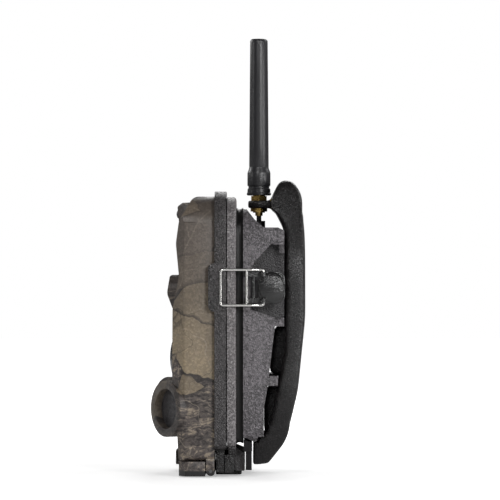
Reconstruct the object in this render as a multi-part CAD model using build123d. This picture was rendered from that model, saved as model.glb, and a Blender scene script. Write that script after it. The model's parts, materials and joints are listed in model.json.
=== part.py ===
"""Clamshell trail camera with a tree bracket and a whip antenna.

Z is up, the lens looks along -Y, and the case parts at the plane Y = 0.
The origin is the middle of the base, in millimetres.
"""
from math import cos, radians, sin, tan
import os

from build123d import *

# Case
SHELL_HALF, SHELL_BOTTOM, SHELL_TOP = 41.0, 7.7, 141.4
SHELL_WALL = 2.2
FRAME_HALF, RING_HALF = 43.5, 33.5
FRONT_FRAME = (-6.3, -0.5)          # front and back of the front clamp frame
REAR_FRAME = (0.0, 4.6)
HOUSING_HALF, BAY_HALF = 40.5, 31.5

# Clamshell hinge, across the bottom of the case
HINGE_Y, HINGE_Z, HINGE_PIN_R = 1.1, 6.2, 1.25
RUNNING_GAP = 0.05                  # radial clearance of every turning fit

# Bottom door
DOOR_TOP, DOOR_Y, DOOR_Z, DOOR_PIN_R = 7.4, -8.2, 2.6, 0.8

# Front openings
LENS_Z, LENS_R = 92.2, 7.2
PIR_Z, PIR_R = 58.75, 10.5
POD_MOUTH, POD_TURN, POD_R, POD_OPENING_R = (31.0, -31.2, 33.7), 33.0, 14.3, 10.2

# Side latches
LATCH_Z, LEVER_PIN = 95.3, (42.9, 9.8)
LEVER_HALF_H, PIN_R = 8.0, 0.7
BAIL_PIVOT, BAIL_X, BAIL_FRONT_Y, WIRE_R = (44.4, 18.3), 45.3, -3.3, 0.68
CROSS_WIRE_Y = 9.8

# Antenna
MAST_Y, JACK_R = 16.2, 3.1
WHIP_BOTTOM, WHIP_TOP = 156.8, 222.9

# AA cells
CELL_R, CELL_LENGTH, CELL_TIP_R, CELL_TIP = 7.1, 49.4, 2.7, 1.0
CELL_COLUMNS = (-21.9, -7.3, 7.3, 21.9)

# Bracket
BOW_HALF, PAD_HALF, SLOT_HALF = 34.0, 18.0, 24.0
CHANNEL = 5.8                       # depth of the trough that fits round a tree
BRACKET_SCREW_SEAT = 31.8


def block(x0, x1, y0, y1, z0, z1):
    """A box between two corners."""
    return Pos((x0 + x1) / 2, (y0 + y1) / 2, (z0 + z1) / 2) * Box(x1 - x0, y1 - y0, z1 - z0)


def rod_x(y, z, r, x0, x1):
    return Pos((x0 + x1) / 2, y, z) * Rot(0, 90, 0) * Cylinder(r, x1 - x0)


def rod_y(x, z, r, y0, y1):
    return Pos(x, (y0 + y1) / 2, z) * Rot(90, 0, 0) * Cylinder(r, y1 - y0)


def rod_z(x, y, r, z0, z1):
    return Pos(x, y, (z0 + z1) / 2) * Cylinder(r, z1 - z0)


def outline(*corners):
    """A closed face from corners, each given as two coordinates and a fillet radius."""
    places, radii = [(u, v) for u, v, _ in corners], [r for _, _, r in corners]
    return make_face(FilletPolyline(*places, radius=radii, close=True).edges())


def across_x(face, x0, x1):
    """A face drawn in Y and Z, extruded from x0 to x1."""
    return extrude(Plane.YZ.offset(x0) * face, amount=x1 - x0)


def across_y(face, y0, y1):
    """A face drawn in X and Z, extruded from y0 to y1."""
    return extrude(Plane.XZ.offset(-y1) * face, amount=y1 - y0)


def across_z(face, z0, z1):
    return extrude(Plane.XY.offset(z0) * face, amount=z1 - z0)


def both_sides(piece):
    return piece + mirror(piece, about=Plane.YZ)


def plate(half, bottom, top, r_bottom, r_top):
    """The rounded outline of the case seen from the front."""
    return outline((-half, bottom, r_bottom), (half, bottom, r_bottom), (half, top, r_top), (-half, top, r_top))


# ---------------------------------------------------------------- front case
def shell_form(inset):
    """The outer form of the front shell, shrunk by inset, running on behind the frame."""
    side = outline(
        (10, SHELL_BOTTOM, 0), (-24.5, SHELL_BOTTOM, 1.5), (-25.1, 19.5, 8), (-27.8, 46, 12),
        (-27.6, 84, 6), (-24.3, 101, 10), (-25.9, 117.5, 14), (-24.3, 129, 8), (-17, SHELL_TOP, 5),
        (10, SHELL_TOP, 0),
    )
    plan = outline((SHELL_HALF, 10, 0), (SHELL_HALF, -21.5, 2), (34.5, -28.6, 2), (-34.5, -28.6, 2),
                   (-SHELL_HALF, -21.5, 2), (-SHELL_HALF, 10, 0))
    front = plate(SHELL_HALF, SHELL_BOTTOM, SHELL_TOP, 4, 16)
    if inset:
        side, plan, front = (offset(face, -inset) for face in (side, plan, front))
    form = across_x(side, -SHELL_HALF, SHELL_HALF) & across_y(front, -40, 7)
    return form & across_z(plan, 0, 150)


def pod_place(depth):
    """The frame of the right side-sensor pod, depth inside its mouth, Z out of the mouth."""
    out = Vector(sin(radians(POD_TURN)), -cos(radians(POD_TURN)), 0)
    return Plane(Vector(*POD_MOUTH) - out * depth, z_dir=out, x_dir=(0, 0, 1))


def pod_rod(r, near, far):
    return extrude(pod_place(far) * Circle(r), amount=far - near)


def lens_hood():
    side = outline((-20, 101.4, 0), (-29.4, 101.4, 1.5), (-30.9, 92, 6), (-27.7, 83.3, 2), (-20, 82, 0))
    return across_x(side, -14, 14) & across_y(plate(13, 82.4, 101.4, 7, 7), -40, 0)


def door_lug(x0, x1):
    """A lug under the shell that carries the door pin."""
    front, back, top = DOOR_Y - 2.4, DOOR_Y + 1.8, 9
    web = outline((front, DOOR_Z, 0), (back, DOOR_Z, 0), (back, top, 0), (front, top, 0))
    return across_x(web, x0, x1) + rod_x(DOOR_Y, DOOR_Z, 2.4, x0, x1)


def front_shell():
    rear_cut = block(-60, 60, FRONT_FRAME[0], 30, -5, 160)
    brow = across_x(outline((-17.5, 137, 0), (-18.5, 138.6, .5), (-23, 138.4, 2), (-25.6, 136.4, 1.5),
                            (-24.7, 127.4, 1), (-20, 127, 0)), -9, 9)
    body = shell_form(0) + lens_hood() + brow + both_sides(pod_rod(POD_R, 0, 18))
    body = body - rear_cut - (shell_form(SHELL_WALL) & block(-60, 60, -40, 20, 0, 160))
    body += both_sides(pod_rod(12, 0.5, 7))
    body -= both_sides(pod_rod(POD_OPENING_R, -2, 5) + pod_rod(8.2, 4, 13))
    body -= across_y(plate(31, 104.6, 126.6, 7, 7), -40, -15) + rod_y(0, 132.6, 2.1, -40, -20)
    body -= rod_y(0, LENS_Z, LENS_R, -40, -20) + rod_y(0, PIR_Z, PIR_R + .1, -40, -20)
    bosses = [rod_y(x, z, 2.9, -20, FRONT_FRAME[0]) for x, z in FRAME_SCREWS]
    holes = [rod_y(x, z, 1.0, -17, 0) for x, z in FRAME_SCREWS]
    body += bosses + [door_lug(-9.7, 9.7), both_sides(door_lug(20.3, 40.8))]
    body -= holes
    body -= rear_cut
    body -= block(-12.6, 12.6, -21.7, -18.1, 5, 12)                  # memory card mouth
    body -= block(15.7, 24.3, -16.8, -12.2, 5, 12) + rod_z(-19, -14.5, 3.3, 5, 12)
    body -= block(-33.3, -24.7, -18.3, -10.9, 5, 12) + block(26.6, 33, -15.8, -13.2, 5, 12)
    return body - rod_x(DOOR_Y, DOOR_Z, DOOR_PIN_R, -50, 50)


FRAME_SCREWS = [(side * 36.6, z) for side in (-1, 1) for z in (52, 88, 126)]


def hinge_bore(r):
    """The hinge hole, closed at both ends by the outer knuckles."""
    return rod_x(HINGE_Y, HINGE_Z, r, -36.3, 36.3)


def front_frame():
    y0, y1 = FRONT_FRAME
    ring = across_y(plate(FRAME_HALF, 13.5, 143.9, 3, 18), y0, y1)
    ring -= across_y(plate(RING_HALF, 19.5, 137.5, 2, 12), y0 - 1, y1 + 1)
    groove = plate(41, 16, 141.4, 2, 16) - plate(38.8, 18.2, 139.2, 1, 14)
    ring -= across_y(groove, -1.7, y1 + 1)
    barrel = across_x(outline((-5.8, 0, .5), (7.4, 0, .8), (7.4, 12.4, 5.9), (-.5, 12.4, .2), (-.5, 14.5, 0),
                              (-5.8, 14.5, 0)), -23, 23)
    knuckle = across_x(outline((-5.3, 2, 1), (-1.6, 1.7, .4), (3.5, 1.5, 1.6), (3.5, 10.9, 1.6),
                               (-1.3, 10.6, .4), (-1.3, 14.5, 0), (-5.3, 14.5, 0)), 33, 38)
    keeper = across_x(outline((-9.5, 83.1, 3), (y1, 83.1, .6), (y1, 107.5, .6), (-9.5, 107.5, 3)), 41.05, 44.1)
    body = ring + barrel + both_sides(knuckle) + both_sides(keeper)
    body -= [rod_y(x, z, 1.3, -10, 2) + rod_y(x, z, 2.4, -2.6, 2) for x, z in FRAME_SCREWS]
    body -= both_sides(block(36.4, 39, -1.7, -.9, 0, 13.4))
    return body - hinge_bore(HINGE_PIN_R + RUNNING_GAP)


def seal_gasket():
    ring = plate(40.9, 16.1, 141.3, 2, 16) - plate(38.9, 18.1, 139.3, 1, 14)
    return across_y(ring, -1.7, -.25)


def screw(head_r, head, shank_r, length):
    """A pan-head screw with its seat at the origin, pointing along -Y."""
    body = rod_y(0, 0, head_r, 0, head) + rod_y(0, 0, shank_r, -length, 0)
    body = fillet(body.edges().sort_by(Axis.Y)[-1], head * .45)
    return body - block(-.4, .4, head - .6, head + 1, -head_r * .6, head_r * .6) \
        - block(-head_r * .6, head_r * .6, head - .6, head + 1, -.4, .4)


def frame_screws():
    return Compound([Pos(x, -2.6, z) * screw(2.2, 1.6, 1.0, 12) for x, z in FRAME_SCREWS])


def ir_window():
    pane = (shell_form(.5) - shell_form(1.9)) & across_y(plate(30.8, 104.8, 126.4, 6.8, 6.8), -40, -15)
    return pane.solids().sort_by(Axis.Y)[0]


LED_PLACES = [(-26 + 7.43 * column, 109 + 5.1 * row) for row in range(4) for column in range(8)]


def ir_led_board():
    board = block(-31, 31, -18.6, -17, 105, 127)
    sockets = [rod_z(side * 28, -15.6, 1.4, 107, 111) for side in (-1, 1)]
    return board + sockets + block(-9, 9, -17, -14.6, 114, 120)


def ir_leds():
    def led(x, z):
        return rod_y(x, z, 1.5, -20.8, -18.6) + Pos(x, -20.8, z) * Sphere(1.5)
    return Compound([led(x, z) for x, z in LED_PLACES])


def lens_window():
    return rod_y(0, LENS_Z, LENS_R, -28.2, -26.9)


def lens_barrel():
    barrel = rod_y(0, LENS_Z, 5.2, -26.3, -21) + rod_y(0, LENS_Z, 6.6, -21, -13.9)
    return barrel - rod_y(0, LENS_Z, 3.6, -30, -14.6)


def lens_glass():
    return Pos(0, -20.4, LENS_Z) * Sphere(5.6) & rod_y(0, LENS_Z, 3.6, -30, -22.6)


def camera_board():
    return block(-14, 14, -13.9, -12.4, 80.5, 104) + block(-9, 9, -12.4, -11.4, 84, 90)


def pir_lens():
    cap = Pos(0, 0.5, PIR_Z) * Sphere(30.1) & rod_y(0, PIR_Z, PIR_R, -40, -26)
    flange = rod_y(0, PIR_Z, 12.2, -25.3, -24.4) + rod_y(0, PIR_Z, PIR_R, -26, -24.4)
    return cap + flange - rod_y(0, PIR_Z, 8.8, -25.6, -20)


def pir_sensors():
    main = rod_y(0, PIR_Z, 4.6, -22.6, -19.2) + rod_y(0, PIR_Z, 5.1, -19.2, -18.3)
    side = pod_rod(4.6, 7.5, 10.5) + pod_rod(5.1, 10.5, 11.2)
    return Compound([main, side, mirror(side, about=Plane.YZ)])


def side_lens():
    """The flat Fresnel disc on the ledge inside the right pod."""
    return pod_rod(POD_OPENING_R, 3.9, 5)


def light_sensor():
    return rod_y(0, 132.6, 2.1, -26.4, -22.5) & Pos(0, -22.6, 132.6) * Sphere(3.6)


def main_board():
    board = block(-32, 32, -9, -7.4, 76, 134)
    chips = [block(-24, -12, -10.2, -9, 108, 120), block(6, 20, -10.4, -9, 112, 126),
             block(14, 22, -10, -9, 90, 96)]
    return board + chips + block(-6, 6, -10.8, -9, 77, 80)


KEYS = {
    "key_up": (0, 98.2), "key_down": (0, 81.8), "key_left": (-9.2, 90), "key_right": (9.2, 90),
    "key_ok": (0, 90), "key_menu": (-23, 90),
}


def inner_panel():
    face = across_y(plate(33.2, 19.8, 137.2, 2, 11.7), -4.4, -2.4)
    tub = block(-30.6, 30.6, -17.8, -4.4, 20.9, 74.3)
    body = face + tub - block(-29.4, 29.4, -16.9, 0, 22, 73.2)
    body -= across_y(plate(18.6, 107, 133, 1, 1), -10, 0)
    return body - [rod_y(x, z, 3.5, -10, 0) for x, z in KEYS.values()]


def lcd_screen():
    return block(-21, 21, -6.9, -4.5, 105, 135)


def key_cap(x, z):
    return rod_y(x, z, 3.2, -5.4, -1.7) + rod_y(x, z, 4.1, -6.4, -5.4)


def cells(y, bottoms):
    """AA cells side by side, with the tip up in every second column."""
    group = []
    for bottom in bottoms:
        for i, x in enumerate(CELL_COLUMNS):
            base = bottom + (CELL_TIP if i % 2 else 0)
            tip = bottom if i % 2 else bottom + CELL_LENGTH
            jacket = rod_z(x, y, CELL_R, base, base + CELL_LENGTH)
            group.append(jacket + rod_z(x, y, CELL_TIP_R, tip, tip + CELL_TIP))
    return Compound(group)


def contacts(y, bottoms):
    """The spring plates under and over the cells."""
    levels = [z for bottom in bottoms for z in (bottom - .35, bottom + CELL_LENGTH + CELL_TIP)]
    return Compound([rod_z(x, y, 4.4, z, z + .3) for z in levels for x in CELL_COLUMNS])


def front_battery_cover():
    lid = across_y(plate(30.4, 21, 74, 2, 2), -2.35, -1.1)
    ribs = [block(-24, 24, -1.1, -.7, z, z + 1.2) for z in (40, 47.5, 55)]
    return lid + ribs


def port_board():
    board = block(-34, 34, -18, -7.6, 15.4, 16.6)
    return board + block(26, 33.4, -16.6, -12.4, 10.2, 15.4) - block(27.2, 32.3, -15.6, -13.4, 8, 13)


def sd_slot():
    cage = block(-13.2, 13.2, -21.7, -18.1, 10, 37.6)
    return cage - block(-12.2, 12.2, -21.2, -18.6, 9, 36.6)


def usb_port():
    return block(15.8, 24.2, -16.7, -12.3, 8, 15.4) - block(16.5, 23.5, -16, -13, 7, 14.5)


def av_port():
    return rod_z(-19, -14.5, 3.2, 8, 15.4) - rod_z(-19, -14.5, 1.8, 7, 14.5)


def dc_jack():
    ring = rod_z(-29, -14.6, 2.8, 7, 14.4) - rod_z(-29, -14.6, .8, 6, 15)
    return block(-33.2, -24.8, -18.2, -11, 8, 15.4) - ring


def door_plan(inset):
    plan = outline((40.8, -11, 0), (40.8, -20.8, 2), (35.5, -24.4, 2), (-35.5, -24.4, 2),
                   (-40.8, -20.8, 2), (-40.8, -11, 0))
    return offset(plan, -inset) if inset else plan


def bottom_door():
    hollow = across_z(door_plan(2), 2.2, 20) + block(-38.8, 38.8, -14, 0, 2.2, 20)
    tray = across_z(door_plan(0), 0, DOOR_TOP) - hollow
    tab = across_x(outline((-26.4, 4.4, .6), (-24, 4.4, 0), (-24, 7.4, 0), (-25.3, 7.4, 0),
                           (-25.3, 11.6, .2), (-26.4, 11.6, .5)), -9, 9)
    arm = across_x(outline((-11.4, .2, 0), (DOOR_Y, .2, 0), (DOOR_Y, 5, 0), (-11.4, 5, 0)), 10, 20)
    knuckle = rod_x(DOOR_Y, DOOR_Z, 2.4, 10, 20)
    body = tray + tab + both_sides(arm + knuckle)
    return body - rod_x(DOOR_Y, DOOR_Z, DOOR_PIN_R + RUNNING_GAP, -50, 50)


def door_seal():
    return across_z(door_plan(2.3) - door_plan(3.3), 2.2, 6.9)


# ----------------------------------------------------------------- rear case
def rear_frame():
    y0, y1 = REAR_FRAME
    ring = across_y(plate(FRAME_HALF, 15, 141, 3, 17), y0, y1)
    ring = fillet(ring.faces().sort_by(Axis.Y)[-1].edges(), 1.4)
    ring -= across_y(plate(RING_HALF, 21, 135, 2, 12), y0 - 1, y1 + 1)
    web = outline((.6, 5, 0), (4.8, 2.4, .5), (9, 2.4, .8), (9, 11.2, 1), (4.5, 13, 0), (4.5, 16, 0),
                  (.6, 16, 0))
    lug = rod_x(HINGE_Y, HINGE_Z, 4.2, 24, 32.5) + across_x(web, 24, 32.5)
    ring -= [rod_y(x, z, 1.1, -1, 6) + rod_y(x, z, 2.3, -1, 2.4) for x, z in HOUSING_SCREWS]
    return ring + both_sides(lug) - hinge_bore(HINGE_PIN_R)


def finger_recess():
    return outline((50, 118.5, 0), (23.5, 118.5, 4), (12.2, 106.5, 10), (11.8, 84.3, 2.5),
                   (23.3, 80.3, 3), (50, 80.3, 0))


HOUSING_SCREWS = [(side * 36.2, z) for side in (-1, 1) for z in (30, 60, 125)]
BRACKET_SCREWS = [(side * 14, z) for side in (-1, 1) for z in (94, 114)]


def coax_route():
    """The line of the antenna lead, from the jack down to its plug on the radio board."""
    points = [(0, MAST_Y, 131.8), (0, MAST_Y, 127.6), (0, 19.7, 121.8), (0, 23, 117.4), (0, 23, 114)]
    radii = []
    for a, b, c in zip(points, points[1:], points[2:]):
        before, after = Vector(*b) - Vector(*a), Vector(*c) - Vector(*b)
        turn = before.get_angle(after)
        radii.append(.45 * min(before.length, after.length) / tan(radians(turn / 2)))
    return FilletPolyline(*points, radius=radii)


def lead(r):
    route = coax_route()
    return sweep(Plane(origin=route @ 0, z_dir=route % 0) * Circle(r), path=route)


def housing_side():
    """The housing seen from the side: a deep block at the top, a slanting back lower down."""
    return outline(
        (8.1, 19.4, 0), (10, 19.2, 1), (14.6, 16.9, 1), (16.4, 22, 2), (20.3, 44, 4), (24.2, 76, 2),
        (24.2, 80.2, 0), (28.9, 80.2, 1), (28.9, 124.1, 1), (25.7, 125.6, 1), (18.5, 125.6, 1.5),
        (13.6, 130, 2), (9.9, 134.9, .6), (8.1, 134.9, 0),
    )


def rear_housing():
    front = across_y(plate(HOUSING_HALF, 16.9, 134.9, 6, 13), 0, 40)
    body = across_x(housing_side(), -HOUSING_HALF, HOUSING_HALF) & front
    body += across_y(plate(38.5, 18, 134, 2, 13), REAR_FRAME[1], 8.2)
    body += block(-33.5, 33.5, 12, 18.6, 19.6, 50)
    body += block(-36, 36, 16, 28.9, 75.6, 80.2) + block(-36, 36, 16, 25.7, 45.5, 50.3)
    body -= both_sides(across_x(finger_recess(), 33.8, 60))
    body += both_sides(block(33.6, 38.5, 26.2, 28.9, 112.6, 119) + block(33.6, 39.6, 22.8, 28.9, 117, 119))
    lugs = [block(40, 44.1, 8.2, 11.6, z0, z1) for z0, z1 in ((84, 86.9), (103.7, 106.4))]
    body += both_sides(Compound(lugs))
    body -= block(-BAY_HALF, BAY_HALF, 4, 17, 21.7, 125.4)
    body -= block(-BAY_HALF, BAY_HALF, 16.9, 26.6, 84, 121.5)
    body -= block(-30, 30, 4, 9, 127.5, 132.5) + both_sides(block(33.5, 38, 10.6, 14.6, 22, 44))
    body -= [rod_y(x, z, 1.0, 3, 10) for x, z in HOUSING_SCREWS]
    body -= [rod_y(x, z, 1.5, 20, 30) for x, z in BRACKET_SCREWS]
    body -= lead(1.6)
    body -= rod_z(0, 16.8, 2.6, 125.6, 130)
    return body - both_sides(rod_z(*LEVER_PIN, PIN_R, 83, 107))


def cable_grommet():
    return rod_z(0, 16.8, 2.6, 125.6, 129.2) - lead(1.25)


def housing_screws():
    """Screws from the clamp frame into the housing."""
    return Compound([Pos(x, 2.4, z) * Rot(0, 0, 180) * screw(2.2, 1.6, 1.0, 6) for x, z in HOUSING_SCREWS])


def rear_battery_tray():
    tub = block(-30.9, 30.9, 1.4, 16.9, 21.8, 125.3) - block(-30, 30, 1, 16, 22.3, 124.9)
    return tub + block(-30, 30, 1.4, 16, 73.45, 73.7) - block(-3, 3, 15, 18, 117, 127)


def rear_battery_cover():
    return across_y(plate(33, 21.5, 134.5, 2, 11.6), .25, 1.2)


def sim_slot():
    return block(-24, -2, 18, 20.2, 91.5, 108.5) - block(-25, -1, 18.7, 19.7, 92.3, 107.7)


def gsm_board():
    board = block(-28, 28, 20.2, 21.6, 88, 115)
    parts = block(-12, 12, 21.6, 24.2, 92, 111) + rod_z(0, 23, 1.9, 111, 114) + block(-3, 3, 21.6, 24, 111, 113)
    return board + parts + sim_slot()


def sim_card():
    card = outline((-28, 92.5, .5), (-3, 92.5, .5), (-3, 107.5, .5), (-28, 107.5, .5))
    return across_y(card, 18.82, 19.58)


def hinge_clips():
    """Clips behind the hinge: a pad under the housing and a leg down beside the knuckles."""
    pad = outline((8.4, 12.4, .5), (12.7, 12.4, .5), (12.7, 16.8, .5), (8.4, 18.4, .5))
    return both_sides(across_x(pad, 34, 39.6) + block(34, 37.6, 9.4, 12.5, 3, 12.5))


def bow_face():
    """The bow seen from the side: a long C from the antenna arm to the foot."""
    return outline(
        (13.2, 16.8, .6), (13.1, 4.7, 1), (20.8, 5.4, 3), (30.2, 17.5, 22), (36, 43, 50), (39.7, 80, 90),
        (39.6, 128, 60), (37.9, 143, 9), (33, 150.4, 5), (26.8, 150, 5), (22.6, 141.2, 1), (22.6, 134.8, 1),
        (24.8, 133.4, 2), (29.2, 124.6, 3), (29.2, 63, 20), (26.8, 50.3, 30), (22.3, 29.6, 20),
        (20.4, 21.6, .4), (19.2, 21, .4), (19, 19.2, .3), (16.6, 19.1, .4), (15.4, 16.2, .5),
    )


def tree_bracket():
    front = outline((-20, 2, 10), (20, 2, 10), (BOW_HALF, 36, 40), (BOW_HALF, 108, 40), (14, 153, 12),
                    (-14, 153, 12), (-BOW_HALF, 108, 40), (-BOW_HALF, 36, 40))
    bow = across_x(bow_face(), -40, 40)
    channel = (bow - Pos(0, -CHANNEL, 0) * bow) & across_y(plate(SLOT_HALF - 2, 22, 138, 10, 14), 0, 60)
    body = (bow & across_y(front, 0, 60)) - channel
    for bottom, top in ((51, 74.6), (24, 44.4)):
        body -= both_sides(block(PAD_HALF, SLOT_HALF, 15, 45, bottom, top))
    upper = outline((21.4, 51, 0), (31, 51, 0), (31, 75, 0), (24.3, 75, 0))
    lower = outline((18.8, 22.5, 0), (24, 22.5, 0), (30, 45, 0), (20.7, 45, 0), (18.8, 34.3, 0))
    body += [across_x(face, -PAD_HALF, PAD_HALF) for face in (upper, lower)]
    arm = across_z(outline((-6, 10.6, 5.9), (6, 10.6, 5.9), (9, 28, 1), (-9, 28, 1)), 135.7, 139.6)
    body += arm
    body -= rod_z(0, MAST_Y, JACK_R, 130, 145)
    body -= [rod_y(x, z, 1.6, 28, 40) + rod_y(x, z, 3.2, BRACKET_SCREW_SEAT, 45) for x, z in BRACKET_SCREWS]
    return body - rod_y(0, 60, 4.6, 25.6, 45)


def bracket_screws():
    return Compound([Pos(x, BRACKET_SCREW_SEAT, z) * screw(3, 1.8, 1.5, 9) for x, z in BRACKET_SCREWS])


def tripod_insert():
    return rod_y(0, 60, 4.6, 25.6, 31.6) - rod_y(0, 60, 3.175, 26.6, 45)


# ---------------------------------------------------------------- antenna
def antenna_jack():
    body = rod_z(0, MAST_Y, JACK_R, 133.4, 146) + rod_z(0, MAST_Y, 4.3, 134, 135.7)
    body += rod_z(0, MAST_Y, 1.9, 131.8, 134)
    return body - rod_z(0, MAST_Y, 2.2, 143.5, 147)


def jack_nut():
    hexagon = RegularPolygon(4.0, 6, major_radius=False)
    return Pos(0, MAST_Y, 0) * across_z(hexagon, 139.6, 142) - rod_z(0, MAST_Y, JACK_R, 130, 150)


def antenna_base():
    ring = Pos(0, MAST_Y, 144.1) * Cone(6.3, 6.0, 3.8)
    body = ring + rod_z(0, MAST_Y, 5.6, 146, 147) + rod_z(0, MAST_Y, 5.95, 147, 154.3)
    body += Pos(0, MAST_Y, 155.55) * Cone(5.95, 5.1, 2.5)
    return body - rod_z(0, MAST_Y, JACK_R + RUNNING_GAP, 140, 146.6)


def antenna_whip():
    whip = Pos(0, MAST_Y, (WHIP_BOTTOM + WHIP_TOP) / 2) * Cone(5.05, 4.55, WHIP_TOP - WHIP_BOTTOM)
    return fillet(whip.edges().sort_by(Axis.Z)[-1], 1.2)


# ---------------------------------------------------------------- latches
def latch_lever():
    """The right lever, closed along the side of the case."""
    low, high = LATCH_Z - LEVER_HALF_H, LATCH_Z + LEVER_HALF_H
    x, y = LEVER_PIN
    hub = [rod_z(x, y, 1.35, z0, z0 + 2.6) for z0 in (low, high - 2.6)]
    arms = block(41.7, 43.6, y, 16.5, low, low + 2.6) + block(41.7, 43.6, y, 16.5, high - 2.6, high)
    bar = block(41.9, 43.4, 12.8, 14, low, high)
    ears = [rod_z(*BAIL_PIVOT, 1.5, z0, z1) + block(41.7, 44.4, 16.2, 19.8, z0, z1)
            for z0, z1 in ((low, low + 2.6), (high - 2.6, high))]
    paddle = outline((15.8, LATCH_Z - 4.2, 3), (19.4, low, 3), (27.2, low, 3), (29.3, LATCH_Z - 5.2, 3),
                     (29.3, LATCH_Z + 5.2, 3), (27.2, high, 3), (19.4, high, 3), (15.8, LATCH_Z + 4.2, 3))
    grip = across_x(paddle, 41.3, 43.6) + across_x(offset(paddle, -2.7), 43.5, 44.9)
    body = arms + bar + hub + ears + grip
    body -= rod_z(x, y, PIN_R + RUNNING_GAP, 80, 110)
    hole_r = WIRE_R + RUNNING_GAP
    return body - [rod_z(*BAIL_PIVOT, hole_r, 80, low + 2.2), rod_z(*BAIL_PIVOT, hole_r, high - 2.2, 110)]


def latch_bail():
    """The right wire bail, from one lever ear round the keeper to the other, with its cross wire."""
    low, high = LATCH_Z - LEVER_HALF_H - .95, LATCH_Z + LEVER_HALF_H + .95
    x, y = BAIL_PIVOT
    points = [(x, y, low + 2.8), (x, y, low), (x, 16, low), (BAIL_X, 12.4, low), (BAIL_X, BAIL_FRONT_Y, low),
              (BAIL_X, BAIL_FRONT_Y, high), (BAIL_X, 12.4, high), (x, 16, high), (x, y, high),
              (x, y, high - 2.8)]
    route = FilletPolyline(*points, radius=[.8, 2, 2, 1.6, 1.6, 2, 2, .8])
    wire = sweep(Plane(origin=route @ 0, z_dir=route % 0) * Circle(WIRE_R), path=route)
    return wire + rod_z(BAIL_X, CROSS_WIRE_Y, .62, low, high)


def latch_pins():
    x, y = LEVER_PIN
    return both_sides(rod_z(x, y, PIN_R, 84.2, 106.2))


FRONT_CELLS, REAR_CELLS = [22.4], [22.7, 74.1]

nodes = {
    "front_shell": front_shell(), "front_frame": front_frame(), "seal_gasket": seal_gasket(),
    "frame_screws": frame_screws(), "ir_window": ir_window(), "ir_led_board": ir_led_board(),
    "ir_leds": ir_leds(), "lens_window": lens_window(), "lens_barrel": lens_barrel(),
    "lens_glass": lens_glass(),
    "camera_board": camera_board(), "pir_lens": pir_lens(), "pir_sensors": pir_sensors(),
    "side_lens_right": side_lens(), "side_lens_left": mirror(side_lens(), about=Plane.YZ),
    "light_sensor": light_sensor(), "main_board": main_board(), "inner_panel": inner_panel(),
    "lcd_screen": lcd_screen(), "front_cells": cells(-9.65, FRONT_CELLS),
    "front_contacts": contacts(-9.65, FRONT_CELLS), "front_battery_cover": front_battery_cover(),
    "port_board": port_board(), "sd_slot": sd_slot(), "sd_card": block(-12, 12, -21, -18.9, 6.9, 36),
    "port_sockets": Compound([usb_port(), av_port(), dc_jack()]),
    "power_switch": block(28, 30.2, -15.3, -13.7, 7.2, 11.6), "bottom_door": bottom_door(),
    "door_seal": door_seal(), "door_pin": rod_x(DOOR_Y, DOOR_Z, DOOR_PIN_R, -40.6, 40.6),
    "rear_frame": rear_frame(), "rear_housing": rear_housing(),
    "rear_screws": Compound([housing_screws(), bracket_screws()]),
    "rear_battery_tray": rear_battery_tray(), "rear_battery_cover": rear_battery_cover(),
    "rear_cells": cells(8.7, REAR_CELLS), "rear_contacts": contacts(8.7, REAR_CELLS), "gsm_board": gsm_board(),
    "sim_card": sim_card(), "coax_cable": lead(1.25), "cable_grommet": cable_grommet(),
    "hinge_pin": rod_x(HINGE_Y, HINGE_Z, HINGE_PIN_R, -36.1, 36.1), "hinge_clips": hinge_clips(),
    "tree_bracket": tree_bracket(), "tripod_insert": tripod_insert(),
    "antenna_jack": antenna_jack(), "jack_nut": jack_nut(), "antenna_base": antenna_base(),
    "antenna_whip": antenna_whip(), "latch_pins": latch_pins(),
    "latch_lever_right": latch_lever(), "latch_lever_left": mirror(latch_lever(), about=Plane.YZ),
    "latch_bail_right": latch_bail(), "latch_bail_left": mirror(latch_bail(), about=Plane.YZ),
}
nodes.update({name: key_cap(x, z) for name, (x, z) in KEYS.items()})

os.makedirs("parts", exist_ok=True)
for name, shape in nodes.items():
    export_step(shape, f"parts/{name}.step")
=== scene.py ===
import json
from math import cos, radians, sin

import bmesh
import bpy
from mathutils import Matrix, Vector

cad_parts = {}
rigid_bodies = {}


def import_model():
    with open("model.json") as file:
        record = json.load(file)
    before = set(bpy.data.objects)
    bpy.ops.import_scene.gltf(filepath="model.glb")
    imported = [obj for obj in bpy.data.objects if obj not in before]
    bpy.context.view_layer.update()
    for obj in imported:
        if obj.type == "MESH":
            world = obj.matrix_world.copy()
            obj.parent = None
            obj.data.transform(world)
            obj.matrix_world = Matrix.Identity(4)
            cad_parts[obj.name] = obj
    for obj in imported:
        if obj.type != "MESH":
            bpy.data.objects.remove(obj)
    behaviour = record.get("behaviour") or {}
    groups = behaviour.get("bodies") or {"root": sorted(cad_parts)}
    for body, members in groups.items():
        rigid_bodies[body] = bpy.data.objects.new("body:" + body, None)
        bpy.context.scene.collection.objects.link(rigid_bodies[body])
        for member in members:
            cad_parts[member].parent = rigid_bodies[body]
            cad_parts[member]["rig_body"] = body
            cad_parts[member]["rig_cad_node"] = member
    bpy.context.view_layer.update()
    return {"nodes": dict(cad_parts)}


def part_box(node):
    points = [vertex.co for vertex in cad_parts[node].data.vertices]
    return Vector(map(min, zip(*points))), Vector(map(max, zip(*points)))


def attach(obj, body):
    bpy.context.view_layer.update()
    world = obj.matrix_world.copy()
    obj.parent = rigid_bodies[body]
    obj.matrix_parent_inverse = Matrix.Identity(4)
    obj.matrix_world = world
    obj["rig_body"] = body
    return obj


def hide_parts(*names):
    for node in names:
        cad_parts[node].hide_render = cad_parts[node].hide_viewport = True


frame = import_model()

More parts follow.
